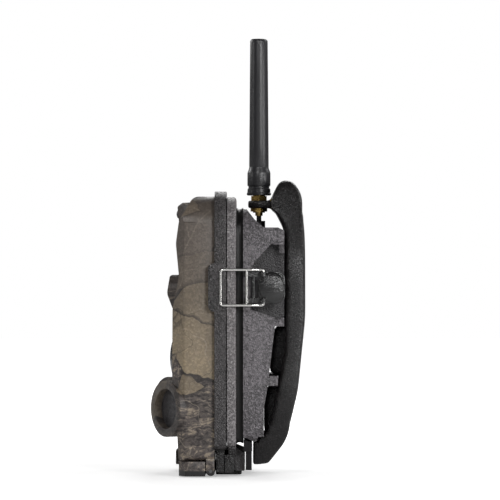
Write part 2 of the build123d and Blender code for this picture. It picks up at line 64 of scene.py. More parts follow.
# ---------------------------------------------------------------------------
# Camera, floor and studio light. The camera stands far out to the side, like a
# long lens over a white table, level with the middle of the object.
# ---------------------------------------------------------------------------
MM = 0.001
VIEW_CENTRE = Vector((0, 11.6, 114.2)) * MM
VIEW_WIDTH, CAMERA_DISTANCE, SENSOR = 251.8 * MM, 2.0, 36.0
NEAR_SIDE = 43.5 * MM       # the side of the case nearest the camera, where VIEW_WIDTH is measured
LIGHT_AIM = Vector((0, 8, 95)) * MM

camera_data = bpy.data.cameras.new("camera")
camera_data.lens = SENSOR * (CAMERA_DISTANCE - NEAR_SIDE) / VIEW_WIDTH
camera_data.sensor_width = SENSOR
camera = bpy.data.objects.new("camera", camera_data)
camera.location = VIEW_CENTRE + Vector((1, 0, 0)) * CAMERA_DISTANCE
camera.rotation_euler = (radians(90), 0, radians(90))
bpy.context.scene.collection.objects.link(camera)
bpy.context.scene.camera = camera


def area_light(name, azimuth, height, distance, size, power):
    """A square softbox. Azimuth 90 is the +X side and 0 the lens side; height is a share of the distance."""
    place = LIGHT_AIM + Vector((sin(radians(azimuth)), -cos(radians(azimuth)), height)) * distance
    data = bpy.data.lights.new(name, "AREA")
    data.shape, data.size, data.energy = "SQUARE", size, power
    light = bpy.data.objects.new(name, data)
    light.location = place
    light.rotation_euler = (LIGHT_AIM - place).to_track_quat("-Z", "Y").to_euler()
    bpy.context.scene.collection.objects.link(light)


area_light("key_lamp", 78, .50, 1.3, .10, 4.2)
area_light("side_softbox", 118, .30, 1.0, .26, 4.2)
area_light("front_strip", 12, .30, .9, .16, .6)
area_light("rear_softbox", 152, .12, .8, .20, 1.4)
area_light("far_side", -100, .6, 1.0, .5, 3.4)
area_light("far_rear", -158, .6, 1.1, .5, 3.0)
area_light("far_front", -32, .5, 1.1, .5, 4.5)

# The studio is white to look at, and dimmer as a light, as in a tent of white cloth.
world = bpy.data.worlds.new("studio")
world.use_nodes = True
tree = world.node_tree
paper, tent = tree.nodes["Background"], tree.nodes.new("ShaderNodeBackground")
paper.inputs["Color"].default_value = tent.inputs["Color"].default_value = (1, 1, 1, 1)
SEEN_STRENGTH, LIT_STRENGTH = 1.0, .11
paper.inputs["Strength"].default_value, tent.inputs["Strength"].default_value = SEEN_STRENGTH, LIT_STRENGTH
seen, choose = tree.nodes.new("ShaderNodeLightPath"), tree.nodes.new("ShaderNodeMixShader")
tree.links.new(seen.outputs["Is Camera Ray"], choose.inputs[0])
tree.links.new(tent.outputs[0], choose.inputs[1])
tree.links.new(paper.outputs[0], choose.inputs[2])
tree.links.new(choose.outputs[0], tree.nodes["World Output"].inputs["Surface"])
bpy.context.scene.world = world
bpy.context.scene.view_settings.view_transform = "Standard"

bpy.ops.object.select_all(action="DESELECT")
bpy.ops.mesh.primitive_plane_add(size=6, location=(0, 0, -.0005))
floor = bpy.context.object
floor.name = "floor"
floor_paint = bpy.data.materials.new("floor_paint")
floor_paint.use_nodes = True
floor_shader = floor_paint.node_tree.nodes["Principled BSDF"]
floor_shader.inputs["Base Color"].default_value = (.93, .93, .93, 1)
floor_shader.inputs["Roughness"].default_value = .7
floor_shader.inputs["Emission Color"].default_value = (1, 1, 1, 1)
# to the eye the table runs on into white; it lights the object only by what falls on it
floor_tree = floor_paint.node_tree
floor_place, reach = floor_tree.nodes.new("ShaderNodeTexCoord"), floor_tree.nodes.new("ShaderNodeVectorMath")
reach.operation = "LENGTH"
fade = floor_tree.nodes.new("ShaderNodeMapRange")
FADE_FROM, FADE_TO, GLOW_NEAR, GLOW_FAR = .10, .55, .40, 1.0      # metres from the object, and strengths
for socket, value in zip((1, 2, 3, 4), (FADE_FROM, FADE_TO, GLOW_NEAR, GLOW_FAR)):
    fade.inputs[socket].default_value = value
floor_tree.links.new(floor_place.outputs["Object"], reach.inputs[0])
floor_tree.links.new(reach.outputs["Value"], fade.inputs[0])
looked_at, glow = floor_tree.nodes.new("ShaderNodeLightPath"), floor_tree.nodes.new("ShaderNodeMath")
glow.operation = "MULTIPLY"
floor_tree.links.new(fade.outputs[0], glow.inputs[0])
floor_tree.links.new(looked_at.outputs["Is Camera Ray"], glow.inputs[1])
floor_tree.links.new(glow.outputs[0], floor_shader.inputs["Emission Strength"])
floor.data.materials.append(floor_paint)


# ---------------------------------------------------------------------------
# Shared finishes. Moulded plastic has a fine spark-eroded grain, soft shade
# changes where it was handled, and edges rubbed a little lighter.
# ---------------------------------------------------------------------------
def new_group(name, inputs, outputs):
    """An empty shader group. Inputs are name: (socket type, default), outputs are name: socket type."""
    group = bpy.data.node_groups.new(name, "ShaderNodeTree")
    for socket, (kind, value) in inputs.items():
        made = group.interface.new_socket(socket, in_out="INPUT", socket_type=kind)
        made.default_value = value
    for socket, kind in outputs.items():
        group.interface.new_socket(socket, in_out="OUTPUT", socket_type=kind)
    return group, group.nodes.new("NodeGroupInput"), group.nodes.new("NodeGroupOutput")


class Graph:
    """Short words for adding nodes to one tree."""

    def __init__(self, tree):
        self.tree = tree

    def add(self, kind, **settings):
        node = self.tree.nodes.new("ShaderNode" + kind)
        for key, value in settings.items():
            setattr(node, key, value)
        return node

    def link(self, out, into):
        self.tree.links.new(out, into)

    def feed(self, node, values):
        for key, value in values.items():
            if isinstance(value, bpy.types.NodeSocket):
                self.link(value, node.inputs[key])
            else:
                node.inputs[key].default_value = value
        return node

    def math(self, operation, *values, clamp=False):
        node = self.add("Math", operation=operation, use_clamp=clamp)
        self.feed(node, dict(enumerate(values)))
        return node.outputs[0]

    def noise(self, vector, scale, detail=2.0, rough=.5, warp=0.0):
        node = self.feed(self.add("TexNoise"), {"Vector": vector, "Scale": scale, "Detail": detail,
                                                "Roughness": rough, "Distortion": warp})
        return node.outputs[0]

    def step(self, value, low, high):
        """0 below low and 1 above high, with a soft change between."""
        node = self.add("MapRange", interpolation_type="SMOOTHSTEP")
        self.feed(node, {0: value, 1: low, 2: high, 3: 0.0, 4: 1.0})
        return node.outputs[0]

    def mix(self, factor, a, b, blend="MIX"):
        node = self.add("Mix", data_type="RGBA", blend_type=blend)
        self.feed(node, {0: factor, 6: a, 7: b})
        return node.outputs[2]


def place_nodes(graph):
    """Object coordinates, in millimetres."""
    coord = graph.add("TexCoord")
    node = graph.add("VectorMath", operation="SCALE")
    graph.feed(node, {0: coord.outputs["Object"], "Scale": 1000.0})
    return node.outputs[0]


def grain_group():
    """Moulded grain: shade, roughness and normal of fine cells of the given size."""
    group, given, out = new_group(
        "moulded_grain",
        {"Place": ("NodeSocketVector", (0, 0, 0)), "Size mm": ("NodeSocketFloat", .5),
         "Depth": ("NodeSocketFloat", .3), "Sparkle": ("NodeSocketFloat", .3),
         "Mottle": ("NodeSocketFloat", .2)},
        {"Shade": "NodeSocketFloat", "Roughness shift": "NodeSocketFloat", "Normal": "NodeSocketVector"})
    g = Graph(group)
    place = given.outputs["Place"]
    scale = g.math("DIVIDE", 1.0, given.outputs["Size mm"])
    fine = g.noise(place, scale, 2, .6)
    cells = g.feed(g.add("TexVoronoi"), {"Vector": place, "Scale": scale})
    sparks = g.step(cells.outputs["Color"], .30, 1.0)
    broad = g.noise(place, .06, 3, .55)
    shade = g.math("MULTIPLY", g.math("SUBTRACT", broad, .5), given.outputs["Mottle"])
    shade = g.math("ADD", shade, g.math("MULTIPLY", g.math("SUBTRACT", sparks, .3), given.outputs["Sparkle"]))
    shade = g.math("ADD", shade, g.math("MULTIPLY", g.math("SUBTRACT", fine, .5), given.outputs["Sparkle"]))
    g.link(g.math("ADD", shade, 1.0), out.inputs["Shade"])
    g.link(g.math("MULTIPLY", g.math("SUBTRACT", fine, .5), .25), out.inputs["Roughness shift"])
    height = g.math("ADD", fine, g.math("MULTIPLY", cells.outputs["Distance"], .6))
    bump = g.feed(g.add("Bump"), {"Strength": given.outputs["Depth"], "Distance": .0006, "Height": height})
    g.link(bump.outputs[0], out.inputs["Normal"])
    return group


def wear_group():
    """Rubbed edges and settled dust: two masks from the shape and its place."""
    group, given, out = new_group(
        "edge_rub", {"Place": ("NodeSocketVector", (0, 0, 0)), "Amount": ("NodeSocketFloat", .5)},
        {"Edge": "NodeSocketFloat", "Dust": "NodeSocketFloat"})
    g = Graph(group)
    geometry = g.add("NewGeometry")
    edge = g.step(geometry.outputs["Pointiness"], .53, .60)
    broken = g.step(g.noise(given.outputs["Place"], .35, 4, .65), .38, .62)
    g.link(g.math("MULTIPLY", g.math("MULTIPLY", edge, broken), given.outputs["Amount"]), out.inputs["Edge"])
    split = g.feed(g.add("SeparateXYZ"), {0: geometry.outputs["Normal"]})
    up = g.step(split.outputs[2], .35, 1.0)
    soft = g.step(g.noise(given.outputs["Place"], .12, 4, .6), .45, .7)
    g.link(g.math("MULTIPLY", g.math("MULTIPLY", up, soft), given.outputs["Amount"]), out.inputs["Dust"])
    return group


GRAIN, WEAR = grain_group(), wear_group()


def use_group(g, group, values):
    node = g.add("Group")
    node.node_tree = group
    return g.feed(node, values)


def material(name):
    made = bpy.data.materials.new(name)
    made.use_nodes = True
    return made, Graph(made.node_tree), made.node_tree.nodes["Principled BSDF"]


# ---------------------------------------------------------------------------
# Camouflage. The front shell and the bottom door are dipped through a printed
# film: broad dry leaves with pale veins, over grey bark, then a satin lacquer.
# ---------------------------------------------------------------------------
def leaf_group():
    """One leaf on the film. Spread runs round the case and Height up it, both in millimetres."""
    group, given, out = new_group(
        "film_leaf",
        {"Spread": ("NodeSocketFloat", 0.0), "Height": ("NodeSocketFloat", 0.0),
         "At spread": ("NodeSocketFloat", 0.0), "At height": ("NodeSocketFloat", 0.0),
         "Turn": ("NodeSocketFloat", 0.0), "Length": ("NodeSocketFloat", 30.0),
         "Width": ("NodeSocketFloat", 12.0)},
        {"Leaf": "NodeSocketFloat", "Vein": "NodeSocketFloat", "Shade": "NodeSocketFloat",
         "Shadow": "NodeSocketFloat"})
    g = Graph(group)
    du = g.math("SUBTRACT", given.outputs["Spread"], given.outputs["At spread"])
    dv = g.math("SUBTRACT", given.outputs["Height"], given.outputs["At height"])
    c, s = g.math("COSINE", given.outputs["Turn"]), g.math("SINE", given.outputs["Turn"])
    along = g.math("ADD", g.math("MULTIPLY", du, c), g.math("MULTIPLY", dv, s))
    cross = g.math("SUBTRACT", g.math("MULTIPLY", dv, c), g.math("MULTIPLY", du, s))
    t = g.math("DIVIDE", along, given.outputs["Length"])
    bend = g.math("MULTIPLY", g.math("MULTIPLY", t, t), g.math("MULTIPLY", given.outputs["Width"], .5))
    cross = g.math("ADD", cross, bend)
    taper = g.math("SUBTRACT", 1.0, g.math("POWER", g.math("ABSOLUTE", t), 1.6))
    half = g.math("MULTIPLY", taper, given.outputs["Width"])
    margin = g.math("SUBTRACT", half, g.math("ABSOLUTE", cross))
    inside = g.step(margin, -.15, .35)
    g.link(inside, out.inputs["Leaf"])
    fringe = g.step(margin, -2.2, -.1)
    g.link(g.math("MULTIPLY", fringe, g.math("SUBTRACT", 1.0, inside)), out.inputs["Shadow"])
    midrib = g.math("SUBTRACT", 1.0, g.step(g.math("ABSOLUTE", cross), .15, .55))
    slanted = g.math("SUBTRACT", along, g.math("MULTIPLY", g.math("ABSOLUTE", cross), .9))
    saw = g.math("ABSOLUTE", g.math("SUBTRACT", g.math("FRACT", g.math("DIVIDE", slanted, 9.0)), .5))
    ribs = g.math("SUBTRACT", 1.0, g.step(saw, .01, .045))
    veins = g.math("MAXIMUM", midrib, g.math("MULTIPLY", ribs, .55))
    g.link(g.math("MULTIPLY", veins, inside), out.inputs["Vein"])
    g.link(g.step(cross, -12.0, 12.0), out.inputs["Shade"])
    return group


LEAF = leaf_group()
# Each leaf: place round the case, height, turn in degrees, length, width, tone (0 dark to 1 pale)
LEAVES = [
    (50, 124, 65, 26, 13, .10), (47, 104, 12, 34, 9, .22), (47, 47, 12, 9, 6, .80),
    (52, 84, 24, 44, 13, .62), (51, 66, -24, 44, 13, 1.0), (-47, 60, 20, 46, 14, .95),
    (-52, 82, -20, 44, 12, .55), (-50, 112, 75, 26, 12, .2),
    (8, 72, 30, 30, 13, .8), (-22, 88, 120, 28, 12, .45), (20, 42, 60, 24, 10, .6),
    (-14, 30, 150, 26, 11, .75),
    (30, 134, 10, 20, 8, .3), (-28, 136, 170, 22, 9, .25), (0, 140, 90, 14, 8, .35),
]
DARK_BARK, MID_BARK, PALE_BARK = (.020, .016, .015, 1), (.080, .066, .060, 1), (.25, .205, .155, 1)
GREY_LEAF, TAN_LEAF, PALE_VEIN = (.088, .073, .064, 1), (.250, .198, .130, 1), (.30, .255, .20, 1)
FAR_WOODS, LEAF_SHADE, POD_FRONT_SHADE = (.064, .053, .048, 1), (.05, .040, .034, 1), (.026, .022, .020, 1)
RUBBED_FILM, BARE_PLASTIC_AND_UNDERSIDE_SHADE = (.16, .15, .145, 1), (.016, .015, .015, 1)


def camouflage(name):
    """The printed film: bark below, the woods out of focus above, and the leaves over both."""
    made, g, shader = material(name)
    place = place_nodes(g)
    split = g.feed(g.add("SeparateXYZ"), {0: place})
    x, y, z = split.outputs
    wobble = g.math("MULTIPLY", g.math("SUBTRACT", g.noise(place, .07, 3, .5), .5), 9.0)
    side = g.math("SIGN", x)
    wrap = g.math("MULTIPLY", side, g.math("MAXIMUM", g.math("ADD", y, 26.0), 0.0))
    spread = g.math("ADD", g.math("ADD", x, wrap), wobble)
    height = g.math("ADD", z, wobble)
    film = g.feed(g.add("CombineXYZ"), {0: spread, 1: height, 2: 0.0}).outputs[0]
    # bark: leaning streaks, broken into plates and flecks
    lean = g.add("Mapping")
    g.feed(lean, {"Vector": film, "Rotation": (0, 0, radians(-38)), "Scale": (.06, .20, 1)})
    streaks = g.noise(lean.outputs[0], 1.5, 6, .70, 1.4)
    flakes = g.noise(film, .36, 6, .74, .8)
    tone = g.math("ADD", g.math("MULTIPLY", streaks, .6), g.math("MULTIPLY", flakes, .4))
    colour = g.mix(g.step(tone, .43, .50), DARK_BARK, MID_BARK)
    colour = g.mix(g.step(tone, .525, .585), colour, PALE_BARK)
    # higher up the film shows the woods out of focus, nearly even in tone
    blur = g.mix(g.step(g.noise(film, .05, 3, .5), .35, .65), FAR_WOODS, GREY_LEAF)
    colour = g.mix(g.math("MULTIPLY", g.step(z, 78.0, 104.0), .88), colour, blur)
    for at, up, turn, length, width, pale in LEAVES:
        leaf = use_group(g, LEAF, {"Spread": spread, "Height": height, "At spread": float(at),
                                   "At height": float(up), "Turn": radians(turn),
                                   "Length": float(length), "Width": float(width)})
        flat = g.mix(pale, GREY_LEAF, TAN_LEAF)
        shaded = g.mix(g.math("MULTIPLY", leaf.outputs["Shade"], .34), flat, LEAF_SHADE)
        speckled = g.mix(g.math("MULTIPLY", g.step(flakes, .45, .68), .30), shaded, MID_BARK)
        colour = g.mix(g.math("MULTIPLY", leaf.outputs["Shadow"], .15 + .6 * pale), colour, DARK_BARK)
        colour = g.mix(g.math("MULTIPLY", leaf.outputs["Leaf"], .93), colour, speckled)
        colour = g.mix(g.math("MULTIPLY", leaf.outputs["Vein"], .16), colour, PALE_VEIN)
    # a few long twigs drawn as thin pale lines, and cracks as dark ones
    twig = g.math("ABSOLUTE", g.math("SUBTRACT", g.noise(film, .026, 1.0, .4, .4), .47))
    twig = g.math("SUBTRACT", 1.0, g.step(twig, .0008, .0040))
    colour = g.mix(g.math("MULTIPLY", twig, .45), colour, PALE_VEIN)
    crack = g.math("ABSOLUTE", g.math("SUBTRACT", g.noise(film, .034, 2.5, .5, .3), .56))
    crack = g.math("SUBTRACT", 1.0, g.step(crack, .0008, .0046))
    crack = g.math("MULTIPLY", crack, g.math("SUBTRACT", 1.0, g.step(z, 86.0, 100.0)))
    colour = g.mix(g.math("MULTIPLY", crack, .50), colour, DARK_BARK)
    # the fronts of the sensor pods, below z 46–52, are painted near-black: painted shade on faces turned from
    # the light
    pod_front_shade = g.math("MULTIPLY", g.step(y, -23.0, -25.5), g.math("SUBTRACT", 1.0, g.step(z, 46.0, 52.0)))
    colour = g.mix(g.math("MULTIPLY", pod_front_shade, .60), colour, POD_FRONT_SHADE)
    grain = use_group(g, GRAIN, {"Place": place, "Size mm": .9, "Depth": .12, "Sparkle": .35, "Mottle": .35})
    colour = g.mix(1.0, colour, grain.outputs["Shade"], "MULTIPLY")
    wear = use_group(g, WEAR, {"Place": place, "Amount": .35})
    colour = g.mix(wear.outputs["Edge"], colour, RUBBED_FILM)
    # inside the case the shell is plain charcoal plastic; below z 2.4–2.9, where the shell turns under, the
    # same near-black is painted shade of the underside
    inside_and_underside_shade = g.math("MAXIMUM", g.step(y, -6.6, -6.2), g.math("SUBTRACT", 1.0, g.step(z, 2.4, 2.9)))
    colour = g.mix(inside_and_underside_shade, colour, BARE_PLASTIC_AND_UNDERSIDE_SHADE)
    g.link(colour, shader.inputs["Base Color"])
    g.link(g.math("ADD", .40, grain.outputs["Roughness shift"]), shader.inputs["Roughness"])
    g.link(grain.outputs["Normal"], shader.inputs["Normal"])
    shader.inputs["Specular IOR Level"].default_value = .45
    return made


# ---------------------------------------------------------------------------
# Case mouldings. The shell, the two clamp frames, the housing and the door are
# injection moulded, so every rim has a small soft radius that catches light.
# ---------------------------------------------------------------------------
nodes = frame["nodes"]


def moulded(name, colour, rough=.5, size=.5, depth=.3, sparkle=.25, mottle=.25, rub=.4,
            edge_tone=2.2, specular=.5, painted_shade_zone=None):
    """A moulded plastic with grain, handled shade changes and rubbed edges. The last argument, a function of
    (g, x, y, z), gives a mask
    of where shade is painted in: there the colour goes to a flat .28 of the given colour, without the grain's
    shade."""
    made, g, shader = material(name)
    place = place_nodes(g)
    grain = use_group(g, GRAIN, {"Place": place, "Size mm": size, "Depth": depth, "Sparkle": sparkle,
                                 "Mottle": mottle})
    wear = use_group(g, WEAR, {"Place": place, "Amount": rub})
    base = g.mix(1.0, (*colour, 1), grain.outputs["Shade"], "MULTIPLY")
    light = tuple(min(1, c * edge_tone) for c in colour)
    base = g.mix(wear.outputs["Edge"], base, (*light, 1))
    base = g.mix(g.math("MULTIPLY", wear.outputs["Dust"], .25), base, (.30, .27, .23, 1))
    # painted shade: where the mask is set the colour is made darker
    if painted_shade_zone:
        x, y, z = g.feed(g.add("SeparateXYZ"), {0: place}).outputs
        base = g.mix(painted_shade_zone(g, x, y, z), base, (*(c * .28 for c in colour), 1))
    g.link(base, shader.inputs["Base Color"])
    g.link(g.math("ADD", rough, grain.outputs["Roughness shift"], clamp=True), shader.inputs["Roughness"])
    g.link(grain.outputs["Normal"], shader.inputs["Normal"])
    shader.inputs["Specular IOR Level"].default_value = specular
    return made


def only(obj):
    """Selects one object alone and makes it the active one."""
    bpy.ops.object.select_all(action="DESELECT")
    obj.select_set(True)
    bpy.context.view_layer.objects.active = obj


def apply_modifiers(obj):
    """Bakes every modifier of an object into its mesh, in order."""
    only(obj)
    for modifier in list(obj.modifiers):
        bpy.ops.object.modifier_apply(modifier=modifier.name)


def node_copy(node, name):
    """A welded copy of a CAD node, as a new piece to shape further."""
    piece = nodes[node].copy()
    piece.data = nodes[node].data.copy()
    piece.parent = None
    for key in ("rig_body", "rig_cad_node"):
        if key in piece:
            del piece[key]
    piece.name = piece.data.name = name
    bpy.context.scene.collection.objects.link(piece)
    only(piece)
    bpy.ops.object.mode_set(mode="EDIT")
    bpy.ops.mesh.select_all(action="SELECT")
    bpy.ops.mesh.remove_doubles(threshold=.002 * MM)
    bpy.ops.mesh.dissolve_limited(angle_limit=radians(.6))
    bpy.ops.object.mode_set(mode="OBJECT")
    return piece


def stand_for(piece, node, body, finish):
    """The piece takes a node's place: its body and its finish, and the node is hidden."""
    piece.data.materials.clear()
    piece.data.materials.append(finish)
    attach(piece, body)
    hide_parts(node)


def soft_rims(node, name, width, body, finish):
    """A node with its sharp rims rounded by width, and smooth shading elsewhere."""
    piece = node_copy(node, name)
    rim = piece.modifiers.new("rim", "BEVEL")
    rim.width, rim.segments, rim.limit_method, rim.angle_limit = width, 2, "ANGLE", radians(32)
    rim.use_clamp_overlap = True
    apply_modifiers(piece)
    bpy.ops.object.shade_smooth_by_angle(angle=radians(30))
    stand_for(piece, node, body, finish)


def hinge_shade_zone(g, x, y, z):
    """Painted shade: the barrel and knuckles below the rim, below z 13–14.2, made darker."""
    return g.math("SUBTRACT", 1.0, g.step(z, 13.0, 14.2))


# painted shade: the finger pockets behind the levers are made darker
def pocket_shade_zone(g, x, y, z):
    """The finger pockets behind the levers."""
    deep = g.math("SUBTRACT", 1.0, g.step(g.math("ABSOLUTE", x), 37.5, 39.6))
    span = g.math("MULTIPLY", g.step(z, 79.6, 80.2), g.math("SUBTRACT", 1.0, g.step(z, 118.6, 119.4)))
    return g.math("MULTIPLY", g.math("MULTIPLY", deep, span), g.step(y, 11.0, 12.0))


camo = camouflage("camouflage_film")
charcoal = moulded("charcoal_frame", (.032, .0292, .0300), .30, .65, .8, 1.8, painted_shade_zone=hinge_shade_zone)
soft_rims("front_shell", "camo_shell", .5 * MM, "front_case", camo)
soft_rims("bottom_door", "camo_door", .35 * MM, "bottom_door", camo)
soft_rims("front_frame", "front_clamp_frame", .45 * MM, "front_case", charcoal)
grey = moulded("grey_frame", (.150, .140, .143), .30, .65, .8, 1.2, painted_shade_zone=hinge_shade_zone)
soft_rims("rear_frame", "rear_clamp_frame", .45 * MM, "rear_case", grey)
speckled = moulded("speckled_housing", (.084, .077, .083), .40, .7, .6, 1.5, painted_shade_zone=pocket_shade_zone)
soft_rims("rear_housing", "battery_housing", .5 * MM, "rear_case", speckled)

# ---------------------------------------------------------------------------
# Neck gap shade. A near-black band round the neck between the rear clamp frame and
# the battery housing, painted shade for the dark gap between them, with a groove run round its middle.
# ---------------------------------------------------------------------------
NECK_HALF, NECK_TOP, NECK_BOTTOM = 40.1, 135.6, 16.4
SHADE_BAND_FRONT, SHADE_BAND_BACK, SHADE_BAND_WALL = 4.75, 8.0, .7
TOP_CORNER, FOOT_CORNER = 14, 3               # corner radii of the band
GROOVE_STEP, GROOVE_DEPTH = .9, .55


def pick(piece, kind, wanted):
    """Selects, in edit mode, the edges or faces that wanted accepts."""
    bpy.ops.object.mode_set(mode="EDIT")
    bpy.ops.mesh.select_mode(type=kind)
    bpy.ops.mesh.select_all(action="DESELECT")
    mesh = bmesh.from_edit_mesh(piece.data)
    for element in (mesh.edges if kind == "EDGE" else mesh.faces):
        element.select_set(wanted(element))
    bmesh.update_edit_mesh(piece.data)


def along_y(edge):
    """Whether an edge runs front to back."""
    run = edge.verts[1].co - edge.verts[0].co
    return abs(run.y) > .9 * run.length


bpy.ops.object.select_all(action="DESELECT")
bpy.ops.mesh.primitive_cube_add(
    size=1, location=Vector((0, (SHADE_BAND_FRONT + SHADE_BAND_BACK) / 2, (NECK_TOP + NECK_BOTTOM) / 2)) * MM,
    scale=Vector((2 * NECK_HALF, SHADE_BAND_BACK - SHADE_BAND_FRONT, NECK_TOP - NECK_BOTTOM)) * MM)
gap_shade_band = bpy.context.object
gap_shade_band.name = gap_shade_band.data.name = "neck_gap_shade"
bpy.ops.object.transform_apply(location=True, rotation=True, scale=True)
pick(gap_shade_band, "EDGE", lambda edge: along_y(edge) and edge.verts[0].co.z > .1)
bpy.ops.mesh.bevel(offset=TOP_CORNER * MM, segments=12, affect="EDGES")
pick(gap_shade_band, "EDGE", lambda edge: along_y(edge) and edge.verts[0].co.z < .03)
bpy.ops.mesh.bevel(offset=FOOT_CORNER * MM, segments=4, affect="EDGES")
pick(gap_shade_band, "FACE", lambda face: abs(face.normal.y) > .9)
bpy.ops.mesh.delete(type="FACE")
bpy.ops.mesh.select_all(action="SELECT")
bpy.ops.mesh.inset(thickness=GROOVE_STEP * MM, depth=-GROOVE_DEPTH * MM, use_boundary=True,
                   use_even_offset=True)
bpy.ops.object.mode_set(mode="OBJECT")
wall = gap_shade_band.modifiers.new("wall", "SOLIDIFY")
wall.thickness, wall.offset = SHADE_BAND_WALL * MM, -1
apply_modifiers(gap_shade_band)
bpy.ops.object.shade_smooth_by_angle(angle=radians(40))
# near-black finish: the real rubber parts further down share it, and on this band it is painted shade
black_rubber_and_gap_shade = moulded("seal_rubber", (.0018, .0017, .0017), .34, .6, .2, .3, rub=.1, specular=.28)
gap_shade_band.data.materials.append(black_rubber_and_gap_shade)
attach(gap_shade_band, "rear_case")

# ---------------------------------------------------------------------------
# Tree bow. One thick moulding in satin black, rounded all along its edges so
# that it does not cut the bark or the strap.
# ---------------------------------------------------------------------------
ARM_Z, ARM_Y, FOOT_Z = 132.5, 25.0, 25.0      # the arm and the foot are thin, and rounded less

bow = node_copy("tree_bracket", "tree_bow")
remesh = bow.modifiers.new("remesh", "REMESH")
remesh.mode, remesh.voxel_size = "VOXEL", .85 * MM
apply_modifiers(bow)
thick = bow.vertex_groups.new(name="thick")
thick.add([v.index for v in bow.data.vertices
           if v.co.z > FOOT_Z * MM and not (v.co.z > ARM_Z * MM and v.co.y < ARM_Y * MM)], 1.0, "REPLACE")
rounding = bow.modifiers.new("rounding", "SMOOTH")
rounding.factor, rounding.iterations, rounding.vertex_group = .5, 45, "thick"
finishing = bow.modifiers.new("finishing", "SMOOTH")
finishing.factor, finishing.iterations = .5, 4
apply_modifiers(bow)
bpy.ops.object.shade_smooth()
bow_black = moulded("bow_plastic", (.0085, .0076, .0079), .30, .7, .35, 1.2, rub=.15,
                    edge_tone=1.6, specular=.42)
stand_for(bow, "tree_bracket", "rear_case", bow_black)

# ---------------------------------------------------------------------------
# Latches. Each side has a black moulded lever with a domed thumb pad, and a bail
# of bent and polished steel wire that the lever draws over the front half.
# ---------------------------------------------------------------------------
def metal(name, colour, rough=.2, brush=0.0, tarnish=.2):
    """Drawn or plated metal: fine scratches and a breath of tarnish."""
    made, g, shader = material(name)
    place = place_nodes(g)
    haze = g.step(g.noise(place, .5, 4, .6), .42, .75)
    dark = tuple(c * .55 for c in colour)
    g.link(g.mix(g.math("MULTIPLY", haze, tarnish), (*colour, 1), (*dark, 1)), shader.inputs["Base Color"])
    scratches = g.noise(place, 6.0, 3, .7)
    g.link(g.math("MULTIPLY_ADD", scratches, .18, rough - .06, clamp=True), shader.inputs["Roughness"])
    bump = g.feed(g.add("Bump"), {"Strength": brush, "Distance": .0001, "Height": scratches})
    g.link(bump.outputs[0], shader.inputs["Normal"])
    shader.inputs["Metallic"].default_value = 1.0
    return made


def dress(names, made):
    """Gives CAD nodes a finish in place of the plain one they come with."""
    for name in names:
        obj = nodes[name]
        obj.data.materials.clear()
        obj.data.materials.append(made)


lever_black = moulded("lever_gloss", (.008, .0078, .008), .20, .6, .30, .6, rub=.5, edge_tone=3, specular=.7)
PAD_CENTRE, PAD_SIZE = Vector((42.9, 22.5, 95.3)), Vector((5.6, 13.6, 15.9))
PAD_ROOT = 41.5                               # the crown goes no further in than this
GRIP_FACE, GRIP_STEP, GRIP_FRONT, GRIP_HALF = 43.5, 43.6, 17, 5.36    # the grip's step, taken level


def thumb_lever(side):
    """The lever with its crowned thumb pad run into it."""
    piece = node_copy(f"latch_lever_{side}", f"thumb_lever_{side}")
    sign = 1 if side == "right" else -1
    pad_centre = Vector((sign * PAD_CENTRE.x, PAD_CENTRE.y, PAD_CENTRE.z)) * MM
    bpy.ops.object.select_all(action="DESELECT")
    bpy.ops.mesh.primitive_cube_add(size=1, location=pad_centre, scale=PAD_SIZE * MM)
    crown = bpy.context.object
    bpy.ops.object.transform_apply(location=True, rotation=True, scale=True)
    crown.modifiers.new("crown", "SUBSURF").levels = 4
    apply_modifiers(crown)
    grown = [PAD_SIZE[i] * MM / crown.dimensions[i] for i in range(3)]
    bpy.ops.object.mode_set(mode="EDIT")
    bpy.ops.mesh.select_all(action="SELECT")
    bpy.ops.transform.resize(value=grown, center_override=pad_centre)
    bpy.ops.object.mode_set(mode="OBJECT")
    for vertex in crown.data.vertices:
        vertex.co.x = sign * max(sign * vertex.co.x, PAD_ROOT * MM)
    for vertex in piece.data.vertices:
        x, y, z = vertex.co / MM
        if abs(x) > GRIP_STEP and y > GRIP_FRONT and abs(z - PAD_CENTRE.z) < GRIP_HALF:
            vertex.co.x = sign * GRIP_FACE * MM
    crown.select_set(True)
    piece.select_set(True)
    bpy.context.view_layer.objects.active = piece
    bpy.ops.object.join()
    remesh = piece.modifiers.new("remesh", "REMESH")
    remesh.mode, remesh.voxel_size = "VOXEL", .20 * MM
    smooth = piece.modifiers.new("smooth", "SMOOTH")
    smooth.factor, smooth.iterations = .5, 5
    apply_modifiers(piece)
    bpy.ops.object.shade_smooth()
    stand_for(piece, f"latch_lever_{side}", f"lever_{side}", lever_black)


for side in ("right", "left"):
    thumb_lever(side)
bright = metal("bright_steel", (.72, .71, .69), .18, .1)
dress(["latch_bail_right", "latch_bail_left", "latch_pins", "frame_screws", "rear_screws", "front_contacts",
       "rear_contacts"], bright)

